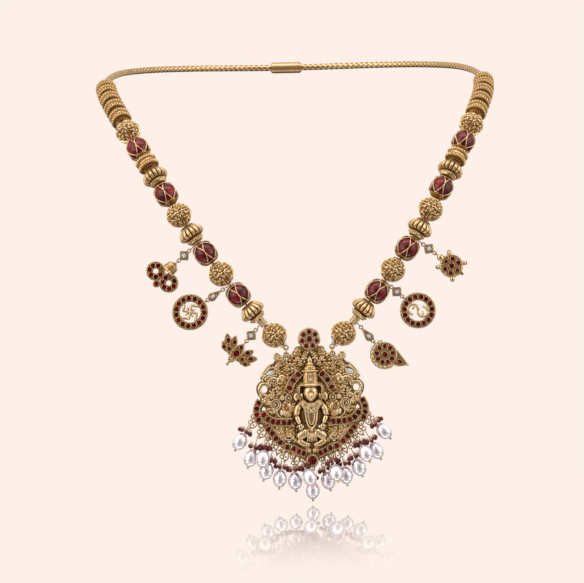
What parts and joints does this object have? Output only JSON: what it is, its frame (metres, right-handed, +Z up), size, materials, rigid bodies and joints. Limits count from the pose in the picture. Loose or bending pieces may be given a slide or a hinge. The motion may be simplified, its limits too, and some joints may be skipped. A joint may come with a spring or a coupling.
{
  "type": "temple necklace",
  "caption": "Long beaded collar with set charms and a cast figure pendant fringed with pearls, hung in a ring on each side, closed by a chain behind the neck.",
  "frame": {"origin": "the middle of the clasp's inner face, where it rests on the nape", "axes": "+Z up with the wearer upright, +Y from the pendant back towards the nape, +X towards the viewer's right, which is the wearer's left"},
  "size_m": [0.1698, 0.136, 0.1902],
  "materials": {
    "gold": "antique gold plating, polished on the high spots and dark in the recesses",
    "ruby": "polished dark red glass",
    "diamond": "polished clear stone on closed backing",
    "pearl": "pearl lustre",
    "thread": "twisted thread"
  },
  "bodies": {
    "strand": {"ball_l1": "gold", "ball_l2": "gold", "ball_l3": "gold", "ball_l4": "gold", "ball_r1": "gold", "ball_r2": "gold", "ball_r3": "gold", "ball_r4": "gold", "ruby_l1": "ruby", "ruby_l2": "ruby", "ruby_l3": "ruby", "ruby_l4": "ruby", "ruby_r1": "ruby", "ruby_r2": "ruby", "ruby_r3": "ruby", "ruby_r4": "ruby", "ribbed_l1": "gold", "ribbed_l2": "gold", "ribbed_l3": "gold", "ribbed_r1": "gold", "ribbed_r2": "gold", "ribbed_r3": "gold", "drum_l1": "gold", "drum_l2": "gold", "drum_l3": "gold", "drum_r1": "gold", "drum_r2": "gold", "drum_r3": "gold", "ruby_cages_left": "gold", "ruby_cages_right": "gold", "thread": "thread", "end_caps": "gold", "charm_carriers": "gold", "charm_links": "gold", "link_stones": "diamond", "scroll_charm": "gold", "sign_charm": "gold", "lotus_charm": "gold", "tortoise_charm": "gold", "scroll_ring_charm": "gold", "conch_charm": "gold", "charm_stones": "ruby", "back_drums_left": "gold", "back_drums_right": "gold", "back_caps": "gold", "back_chain_left": "gold", "back_chain_right": "gold", "clasp": "gold"},
    "pendant": {"pendant_plate": "gold", "pendant_rubies": "ruby", "jump_rings": "gold", "pearl_rings": "gold", "pearl_pins": "gold", "pearls": "pearl"}
  },
  "joints": [
    {"name": "pendant_swing", "type": "hinge", "parent": "strand", "child": "pendant", "pos_m": [0, -0.124, -0.1262], "axis": [1, 0, 0], "range_deg": [-45, 25]}
  ]
}
